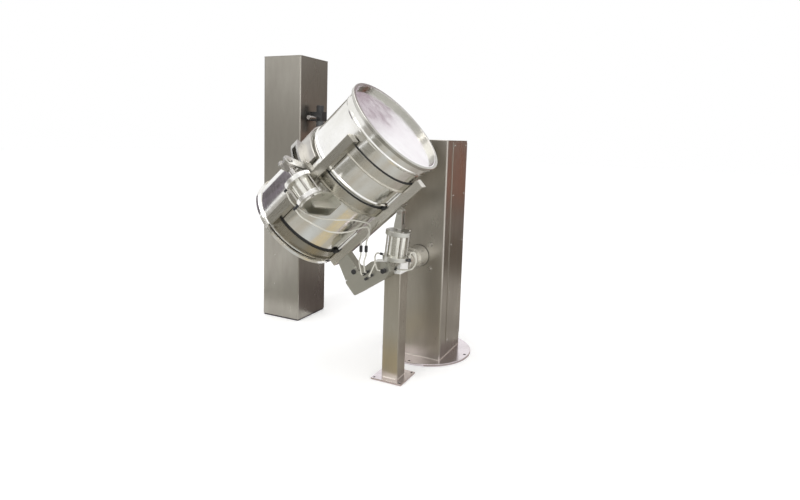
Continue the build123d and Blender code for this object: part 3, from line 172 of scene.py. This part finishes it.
def paint_side_shade(material, facing, colour):
    """Painted shade: a darker second colour on the faces that don't look in the given direction."""
    tree = material.node_tree
    painted = node_of_type(tree, "BSDF_PRINCIPLED").inputs["Base Color"]
    coord = tree.nodes.new("ShaderNodeTexCoord")
    aligned = tree.nodes.new("ShaderNodeVectorMath")
    aligned.operation = "DOT_PRODUCT"
    aligned.inputs[1].default_value = facing
    tree.links.new(coord.outputs["Normal"], aligned.inputs[0])
    mix = tree.nodes.new("ShaderNodeMix")
    mix.data_type = "RGBA"
    mix.inputs[MIX_FIRST].default_value = (*colour, 1)
    front = ramp(tree, aligned.outputs["Value"], 0, 1, start=0.5, stop=0.85)
    tree.links.new(front, mix.inputs[MIX_FACTOR])
    tree.links.new(painted.links[0].from_socket, mix.inputs[MIX_SECOND])
    tree.links.new(mix.outputs[MIX_RESULT], painted)


def plastic(name, light, dark, rough, coat=0.0, grain=220, edge=0.0008):
    """Plastic or rubber with a fine grain and faint broad patches."""
    material, tree, shader = new_material(name, light, 0.0, rough[0])
    shader.inputs["Coat Weight"].default_value = coat
    fine = noise(tree, grain_vector(tree, UP, grain, grain), detail=3)
    broad = noise(tree, grain_vector(tree, UP, across=12, along=12))
    colour = blend_colours(tree, ramp(tree, broad, 0, 1), dark, light)
    tree.links.new(colour, shader.inputs["Base Color"])
    tree.links.new(ramp(tree, fine, *rough), shader.inputs["Roughness"])
    tree.links.new(bump(tree, fine, strength=0.15, distance=0.0003, edge=edge), shader.inputs["Normal"])
    return material


# Brushed sheet of the columns, the post and the plates
tall_steel = brushed_metal(
    "tall_steel",
    light=(0.45, 0.43, 0.385),
    dark=(0.30, 0.28, 0.245),
    rough=(0.24, 0.38),
    direction=UP,
)
drive_steel = brushed_metal(
    "drive_steel",
    light=(0.56, 0.53, 0.48),
    dark=(0.40, 0.375, 0.335),
    rough=(0.24, 0.38),
    direction=UP,
)
post_steel = brushed_metal(
    "post_steel",
    light=(0.60, 0.57, 0.51),
    dark=(0.42, 0.39, 0.33),
    rough=(0.24, 0.38),
    direction=UP,
)
plate_steel = brushed_metal(
    "plate_steel",
    light=(0.86, 0.79, 0.825),
    dark=(0.66, 0.605, 0.62),
    rough=(0.14, 0.26),
    direction=(1, 0.4, 0),
)
# Near-black steel of the tall column's plinth: painted shade in the recess at the column's foot
recess_shade_steel = brushed_metal(
    "recess_shade_steel",
    light=(0.10, 0.09, 0.10),
    dark=(0.06, 0.055, 0.06),
    rough=(0.3, 0.45),
    direction=UP,
)
weld_steel = brushed_metal(
    "weld_steel",
    light=(0.88, 0.84, 0.79),
    dark=(0.64, 0.60, 0.55),
    rough=(0.3, 0.5),
    direction=UP,
    grain=260,
    streak=260,
    edge=0,
    relief=0.5,
)

# Brushed steel of the cradle, the arm and the jaw
cradle_steel = brushed_metal(
    "cradle_steel",
    light=(0.50, 0.485, 0.435),
    dark=(0.335, 0.32, 0.28),
    rough=(0.2, 0.34),
    direction=ALONG_DRUM,
)
band_steel = brushed_metal(
    "band_steel",
    light=(0.64, 0.62, 0.56),
    dark=(0.44, 0.42, 0.36),
    rough=(0.18, 0.32),
    direction=ALONG_DRUM,
)
# Painted light: a lighter copy of the cradle steel for the bottom rail and the top band
lit_rail_and_band_steel = brushed_metal(
    "lit_rail_and_band_steel",
    light=(0.84, 0.82, 0.76),
    dark=(0.60, 0.58, 0.53),
    rough=(0.12, 0.24),
    direction=ALONG_DRUM,
)
# Painted shade: a darker copy of the band steel for the bottom band at the foot of the drum
shaded_band_steel = brushed_metal(
    "shaded_band_steel",
    light=(0.46, 0.435, 0.375),
    dark=(0.31, 0.285, 0.235),
    rough=(0.2, 0.34),
    direction=ALONG_DRUM,
)
arm_steel = brushed_metal(
    "arm_steel",
    light=(0.60, 0.595, 0.54),
    dark=(0.46, 0.455, 0.41),
    rough=(0.26, 0.4),
    direction=ALONG_DRUM,
)
mount_steel = brushed_metal(
    "mount_steel",
    light=(0.72, 0.71, 0.65),
    dark=(0.54, 0.53, 0.48),
    rough=(0.26, 0.4),
    direction=ALONG_DRUM,
)
strap_steel = brushed_metal(
    "strap_steel",
    light=(0.66, 0.64, 0.60),
    dark=(0.48, 0.46, 0.43),
    rough=(0.26, 0.4),
    direction=ALONG_DRUM,
)
lever_steel = brushed_metal(
    "lever_steel",
    light=(0.66, 0.65, 0.62),
    dark=(0.46, 0.45, 0.42),
    rough=(0.2, 0.34),
    direction=ALONG_DRUM,
)

# Turned steel of the hub, the shafts, the bolts and the cylinders
hub_steel = brushed_metal(
    "hub_steel",
    light=(0.86, 0.84, 0.78),
    dark=(0.56, 0.54, 0.49),
    rough=(0.2, 0.32),
    direction=ALONG_SHAFT,
    grain=900,
    streak=40,
    metallic=0.85,
)
turned_steel = brushed_metal(
    "turned_steel",
    light=(0.62, 0.60, 0.58),
    dark=(0.44, 0.42, 0.40),
    rough=(0.12, 0.24),
    direction=ALONG_SHAFT,
    grain=900,
    streak=40,
)
bolt_steel = brushed_metal(
    "bolt_steel",
    light=(0.60, 0.58, 0.54),
    dark=(0.40, 0.38, 0.35),
    rough=(0.2, 0.34),
    direction=ALONG_SHAFT,
    grain=1200,
    streak=300,
    edge=0.0006,
)
cap_metal = brushed_metal(
    "cap_metal",
    light=(0.69, 0.685, 0.64),
    dark=(0.50, 0.495, 0.455),
    rough=(0.26, 0.4),
    direction=ACROSS_SHAFT,
    grain=500,
    streak=200,
)
clamp_cap_metal = brushed_metal(
    "clamp_cap_metal",
    light=(0.86, 0.85, 0.83),
    dark=(0.70, 0.69, 0.66),
    rough=(0.2, 0.32),
    direction=ACROSS_SHAFT,
    grain=500,
    streak=200,
)
tube_metal = brushed_metal(
    "tube_metal",
    light=(0.86, 0.85, 0.79),
    dark=(0.66, 0.65, 0.59),
    rough=(0.16, 0.28),
    direction=UP,
    grain=800,
    streak=12,
)

# Polished steel of the drum
drum_steel = polished_metal(
    "drum_steel",
    light=(0.98, 0.975, 0.96),
    dark=(0.82, 0.805, 0.76),
    rough=(0.08, 0.2),
)
lid_steel = polished_metal(
    "lid_steel",
    light=(0.99, 0.97, 0.985),
    dark=(0.90, 0.85, 0.885),
    rough=(0.12, 0.26),
    waves=8,
    depth=0.003,
)
# Painted shade on the lid: its sides, which don't face along the drum, get a darker grey
paint_side_shade(lid_steel, ALONG_DRUM, (0.42, 0.42, 0.37))
ring_steel = brushed_metal(
    "ring_steel",
    light=(0.62, 0.61, 0.57),
    dark=(0.46, 0.45, 0.41),
    rough=(0.16, 0.28),
    direction=ALONG_DRUM,
    grain=300,
    streak=300,
)

# Rubber and plastic
rubber = plastic(
    "rubber",
    light=(0.018, 0.018, 0.018),
    dark=(0.03, 0.03, 0.028),
    rough=(0.55, 0.75),
    grain=400,
)
pale_rubber = plastic(
    "pale_rubber",
    light=(0.62, 0.61, 0.57),
    dark=(0.50, 0.49, 0.45),
    rough=(0.5, 0.7),
    grain=400,
)
black = plastic(
    "black",
    light=(0.014, 0.014, 0.016),
    dark=(0.03, 0.03, 0.032),
    rough=(0.32, 0.5),
    coat=0.1,
)
white = plastic(
    "white",
    light=(0.90, 0.89, 0.86),
    dark=(0.80, 0.79, 0.76),
    rough=(0.35, 0.5),
    coat=0.1,
)
tube_plastic = plastic(
    "tube_plastic",
    light=(0.66, 0.645, 0.575),
    dark=(0.55, 0.535, 0.47),
    rough=(0.2, 0.32),
    coat=0.3,
)
bowl_plastic = plastic(
    "bowl_plastic",
    light=(0.10, 0.105, 0.11),
    dark=(0.06, 0.062, 0.066),
    rough=(0.1, 0.2),
    coat=0.5,
)

FINISHES = {
    tall_steel: ["tall_column_shell", "tall_column_cap"],
    recess_shade_steel: ["tall_column_plinth"],
    drive_steel: ["drive_column_shell", "drive_column_cap", "drive_column_cover"],
    post_steel: ["support_post"],
    plate_steel: ["round_base_plate", "post_base_plate"],
    cradle_steel: ["side_rails", "link_lug", "hinge_lugs"],
    lit_rail_and_band_steel: ["bottom_rail", "top_band"],
    shaded_band_steel: ["bottom_band"],
    band_steel: ["middle_band"],
    arm_steel: ["swing_arm", "cradle_knee"],
    mount_steel: ["clamp_mount"],
    strap_steel: ["jaw_strap"],
    lever_steel: ["jaw_lever"],
    hub_steel: ["hub_housing", "shaft_coupling"],
    turned_steel: ["main_shaft", "tilt_rod", "clamp_rod", "shutoff_valve"],
    bolt_steel: [
        "panel_screws",
        "hub_bolts",
        "foot_pin",
        "link_pin",
        "clamp_pin",
        "hinge_pin",
        "tilt_tie_rods",
        "clamp_tie_rods",
    ],
    cap_metal: ["tilt_end_caps", "tilt_fork"],
    clamp_cap_metal: ["clamp_end_caps"],
    tube_metal: ["tilt_barrel", "clamp_barrel"],
    drum_steel: ["drum_shell"],
    lid_steel: ["drum_lid"],
    ring_steel: ["closing_ring"],
    rubber: ["rubber_linings"],
    pale_rubber: ["jaw_pad"],
    black: [
        "service_body",
        "regulator_knob",
        "rotary_union",
        "arm_fittings",
        "clamp_ports",
        "tilt_ports",
        "tube_couplings",
        "pivot_pin",
    ],
    white: ["wear_strips", "bearing_block"],
    tube_plastic: ["arm_tubes", "tilt_tubes", "clamp_tubes"],
    bowl_plastic: ["service_bowl"],
}
for material, names in FINISHES.items():
    for name in names:
        slots = nodes[name].data.materials
        for index in range(len(slots)):
            slots[index] = material


def name_piece(name, material):
    """Names the mesh that was just added and gives it its material."""
    piece = bpy.context.object
    piece.name = name
    piece.data.materials.append(material)
    return piece


def aimed(direction):
    """The rotation that turns a piece's Z axis to a direction."""
    return Vector(direction).to_track_quat("Z", "Y").to_euler()


# Weld beads round the feet of the drive column and of the post
BEAD_RADIUS = 0.004
BEAD_END_GAP = 0.009


def weld_foot(column, plate):
    """Four beads where a column stands on its plate."""
    low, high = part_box(column)
    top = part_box(plate)[1].z
    corners = [
        Vector((low.x, low.y, top)),
        Vector((high.x, low.y, top)),
        Vector((high.x, high.y, top)),
        Vector((low.x, high.y, top)),
    ]
    for number, first in enumerate(corners):
        side = corners[(number + 1) % len(corners)] - first
        bpy.ops.mesh.primitive_cylinder_add(
            vertices=12,
            radius=BEAD_RADIUS,
            depth=side.length - 2 * BEAD_END_GAP,
        )
        bead = name_piece(f"{column}_weld_{number}", weld_steel)
        bead.location = first + side / 2
        bead.rotation_euler = aimed(side)
        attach(bead, "base")


weld_foot("drive_column_shell", "round_base_plate")
weld_foot("support_post", "post_base_plate")

# Dark ring round the root of the hub, where it meets the column
ROOT_RING_RADIUS = 0.0025
ROOT_RING_INSET = 0.001
hub_low, hub_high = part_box("hub_housing")
bpy.ops.mesh.primitive_torus_add(
    major_segments=96,
    minor_segments=12,
    major_radius=(hub_high.z - hub_low.z) / 2 - ROOT_RING_INSET,
    minor_radius=ROOT_RING_RADIUS,
    location=(0, hub_high.y - ROOT_RING_RADIUS, (hub_low.z + hub_high.z) / 2),
    rotation=(math.pi / 2, 0, 0),
)
root_ring = name_piece("hub_root_ring", rubber)
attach(root_ring, "base")

# Floor: pale paint that looks white to the camera and keeps the shadow
FLOOR_SIZE = 60
FLOOR_DROP = 0.0005
FLOOR_GLOW = 0.22
FLOOR_IN_REFLECTIONS = 0.1
floor_material, tree, shader = new_material("floor_paint", (0.9, 0.9, 0.9), 0.0, 0.7)
output = node_of_type(tree, "OUTPUT_MATERIAL")
rays = tree.nodes.new("ShaderNodeLightPath").outputs
seen = calculate(tree, "MAXIMUM", rays["Is Camera Ray"], rays["Is Transmission Ray"])
seen_glow = calculate(tree, "MULTIPLY", seen, FLOOR_GLOW)
strength = calculate(tree, "MULTIPLY_ADD", rays["Is Glossy Ray"], FLOOR_IN_REFLECTIONS, seen_glow)
glow = tree.nodes.new("ShaderNodeEmission")
glow.inputs["Color"].default_value = (1, 1, 1, 1)
tree.links.new(strength, glow.inputs["Strength"])
both = tree.nodes.new("ShaderNodeAddShader")
tree.links.new(shader.outputs[0], both.inputs[0])
tree.links.new(glow.outputs[0], both.inputs[1])
tree.links.new(both.outputs[0], output.inputs["Surface"])

bpy.ops.mesh.primitive_plane_add(size=FLOOR_SIZE, location=(0, 0, -FLOOR_DROP))
floor = name_piece("floor", floor_material)

# Painted shade: near-black discs in the open anchor holes of the two plates, standing for the shade
# inside the holes
ANCHOR_RADIUS = 0.265
ANCHOR_HOLE = 0.009
POST_ANCHOR = 0.08
POST_HOLE = 0.007
SHADE_DISC_HEIGHT = 0.006
SHADE_DISC_GAP = 0.0002
# Near-black colour of the discs: painted shade
hole_shade_material, tree, shader = new_material("hole_painted_shade", (0.03, 0.03, 0.03), 0.0, 0.8)
post_low, post_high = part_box("post_base_plate")
post_centre = (post_low + post_high) / 2
anchors = [
    (ANCHOR_RADIUS, 0, ANCHOR_HOLE),
    (0, ANCHOR_RADIUS, ANCHOR_HOLE),
    (-ANCHOR_RADIUS, 0, ANCHOR_HOLE),
    (0, -ANCHOR_RADIUS, ANCHOR_HOLE),
]
for across in (-POST_ANCHOR, POST_ANCHOR):
    for away in (-POST_ANCHOR, POST_ANCHOR):
        anchors.append((post_centre.x + across, post_centre.y + away, POST_HOLE))
for number, (x, y, radius) in enumerate(anchors):
    bpy.ops.mesh.primitive_cylinder_add(
        vertices=24,
        radius=radius - SHADE_DISC_GAP,
        depth=SHADE_DISC_HEIGHT,
        location=(x, y, SHADE_DISC_HEIGHT / 2),
    )
    shade_disc = name_piece(f"hole_painted_shade_{number}", hole_shade_material)

# World: white where it is seen, a little dimmer as fill light
AMBIENT = 0.9
world = bpy.data.worlds.new("studio")
bpy.context.scene.world = world
world.use_nodes = True
tree = world.node_tree
background = node_of_type(tree, "BACKGROUND")
background.inputs["Color"].default_value = (1, 1, 1, 1)
rays = tree.nodes.new("ShaderNodeLightPath").outputs
seen = calculate(tree, "MAXIMUM", rays["Is Camera Ray"], rays["Is Glossy Ray"])
through = calculate(tree, "MAXIMUM", seen, rays["Is Transmission Ray"])
level = ramp(tree, through, AMBIENT, 1.0, start=0, stop=1)
tree.links.new(level, background.inputs["Strength"])

# Ways that the upright cards face, and the step between the cards that lie on the floor
TO_FRONT = (0, -1, 0)
TO_FRONT_LEFT = (-0.4, -1, 0)
TO_BACK_RIGHT = (0.4, 1, 0)
TO_RIGHT = (1, 0, 0)
FLOOR_LAYER = 0.001


def card(name, centre, size, facing, light, dark, cloud=2.5):
    """A studio card out of the picture: a glowing cloudy panel that only the metal reflects."""
    material = bpy.data.materials.new(name + "_face")
    material.use_nodes = True
    tree = material.node_tree
    tree.nodes.remove(node_of_type(tree, "BSDF_PRINCIPLED"))
    output = node_of_type(tree, "OUTPUT_MATERIAL")
    glow = tree.nodes.new("ShaderNodeEmission")
    coord = tree.nodes.new("ShaderNodeTexCoord")
    patches = ramp(tree, noise(tree, coord.outputs["Object"], cloud, detail=3), 0, 1)
    tree.links.new(blend_colours(tree, patches, dark, light), glow.inputs["Color"])
    tree.links.new(glow.outputs[0], output.inputs["Surface"])
    bpy.ops.mesh.primitive_plane_add(size=1, location=centre)
    panel = name_piece(name, material)
    panel.scale = (*size, 1)
    panel.rotation_euler = aimed(facing)
    panel.visible_camera = False
    panel.visible_shadow = False
    panel.visible_diffuse = False


card(
    "card_behind_right",
    centre=(2.2, 5.0, 0.82),
    size=(6.0, 1.05),
    facing=TO_FRONT_LEFT,
    light=(0.36, 0.17, 0.12),
    dark=(0.26, 0.13, 0.10),
)
card(
    "card_behind_high",
    centre=(2.2, 5.0, 2.28),
    size=(6.0, 1.85),
    facing=TO_FRONT_LEFT,
    light=(0.29, 0.26, 0.235),
    dark=(0.20, 0.175, 0.16),
)
card(
    "card_behind_low",
    centre=(2.2, 5.0, -0.2),
    size=(6.0, 1.0),
    facing=TO_FRONT_LEFT,
    light=(0.10, 0.07, 0.045),
    dark=(0.06, 0.045, 0.03),
)
card(
    "card_behind_floor",
    centre=(1.2, 3.3, 4 * FLOOR_LAYER),
    size=(4.5, 2.8),
    facing=UP,
    light=(0.13, 0.10, 0.07),
    dark=(0.08, 0.06, 0.045),
)
card(
    "card_beside_drive",
    centre=(0.9, 0.75, 4 * FLOOR_LAYER),
    size=(1.6, 2.3),
    facing=UP,
    light=(0.50, 0.47, 0.43),
    dark=(0.34, 0.31, 0.28),
)
card(
    "card_beside_tall",
    centre=(-0.6, 0.9, 5 * FLOOR_LAYER),
    size=(1.2, 1.4),
    facing=UP,
    light=(0.26, 0.22, 0.21),
    dark=(0.12, 0.10, 0.10),
)
card(
    "card_front_left",
    centre=(-4.4, -6.0, 0.6),
    size=(6.5, 3.0),
    facing=TO_BACK_RIGHT,
    light=(0.46, 0.44, 0.41),
    dark=(0.34, 0.33, 0.30),
)
card(
    "card_front_floor",
    centre=(-1.6, -4.3, 3 * FLOOR_LAYER),
    size=(5.0, 2.8),
    facing=UP,
    light=(0.34, 0.33, 0.29),
    dark=(0.22, 0.21, 0.18),
)
card(
    "card_low",
    centre=(-0.2, -1.6, 4 * FLOOR_LAYER),
    size=(3.4, 2.6),
    facing=UP,
    light=(0.54, 0.55, 0.53),
    dark=(0.44, 0.40, 0.33),
    cloud=3,
)
card(
    "card_gold",
    centre=(-0.12, -0.80, 6 * FLOOR_LAYER),
    size=(0.44, 0.38),
    facing=UP,
    light=(0.64, 0.52, 0.30),
    dark=(0.50, 0.46, 0.37),
    cloud=5,
)
card(
    "card_left",
    centre=(-5.0, -1.1, 2.1),
    size=(3.8, 1.5),
    facing=TO_RIGHT,
    light=(0.24, 0.21, 0.25),
    dark=(0.10, 0.09, 0.09),
)
card(
    "card_lid",
    centre=(-1.55, 5.0, 5.4),
    size=(3.4, 2.6),
    facing=TO_FRONT,
    light=(0.44, 0.36, 0.39),
    dark=(0.32, 0.26, 0.29),
)


def lamp(name, location, target, size, power, colour=(1, 1, 1)):
    light = bpy.data.lights.new(name, "AREA")
    light.shape = "RECTANGLE"
    light.size = size[0]
    light.size_y = size[1]
    light.energy = power
    light.color = colour
    item = bpy.data.objects.new(name, light)
    bpy.context.collection.objects.link(item)
    item.location = location
    item.rotation_euler = aimed(Vector(location) - Vector(target))


lamp(
    "key",
    location=(-2.2, -4.5, 4.2),
    target=(-0.4, -0.2, 0.9),
    size=(2.5, 2.0),
    power=70,
    colour=(1.0, 0.985, 0.96),
)
lamp(
    "fill",
    location=(3.8, -3.6, 2.6),
    target=(0.0, 0.0, 0.8),
    size=(2.0, 2.0),
    power=20,
    colour=(1.0, 0.99, 0.98),
)
lamp(
    "top",
    location=(-0.3, -0.8, 4.6),
    target=(-0.3, -0.4, 0.8),
    size=(3.0, 3.0),
    power=40,
)

# Camera, fitted to the photograph
IMAGE_WIDTH = 800
IMAGE_HEIGHT = 500
FOCAL_PIXELS = 544.594
CENTRE_X = 401.464
CENTRE_Y = 196.666
SENSOR_WIDTH = 36
CAMERA_AT = (1.3186, -3.1928, 1.3780)
LOOK = Vector((-0.43007, 0.89614, -0.10943)).normalized()
ROLL = math.radians(1.792)

camera_data = bpy.data.cameras.new("camera")
camera_data.sensor_fit = "HORIZONTAL"
camera_data.sensor_width = SENSOR_WIDTH
camera_data.lens = FOCAL_PIXELS / IMAGE_WIDTH * SENSOR_WIDTH
camera_data.shift_x = -(CENTRE_X - IMAGE_WIDTH / 2) / IMAGE_WIDTH
camera_data.shift_y = (CENTRE_Y - IMAGE_HEIGHT / 2) / IMAGE_WIDTH
camera = bpy.data.objects.new("camera", camera_data)
bpy.context.collection.objects.link(camera)
level_right = LOOK.cross(Vector(UP)).normalized()
level_up = level_right.cross(LOOK)
right = level_right * math.cos(ROLL) + level_up * math.sin(ROLL)
camera_axes = Matrix((right, right.cross(LOOK), -LOOK)).transposed().to_4x4()
camera.matrix_world = Matrix.Translation(CAMERA_AT) @ camera_axes
bpy.context.scene.camera = camera

bpy.context.scene.view_settings.view_transform = "Standard"
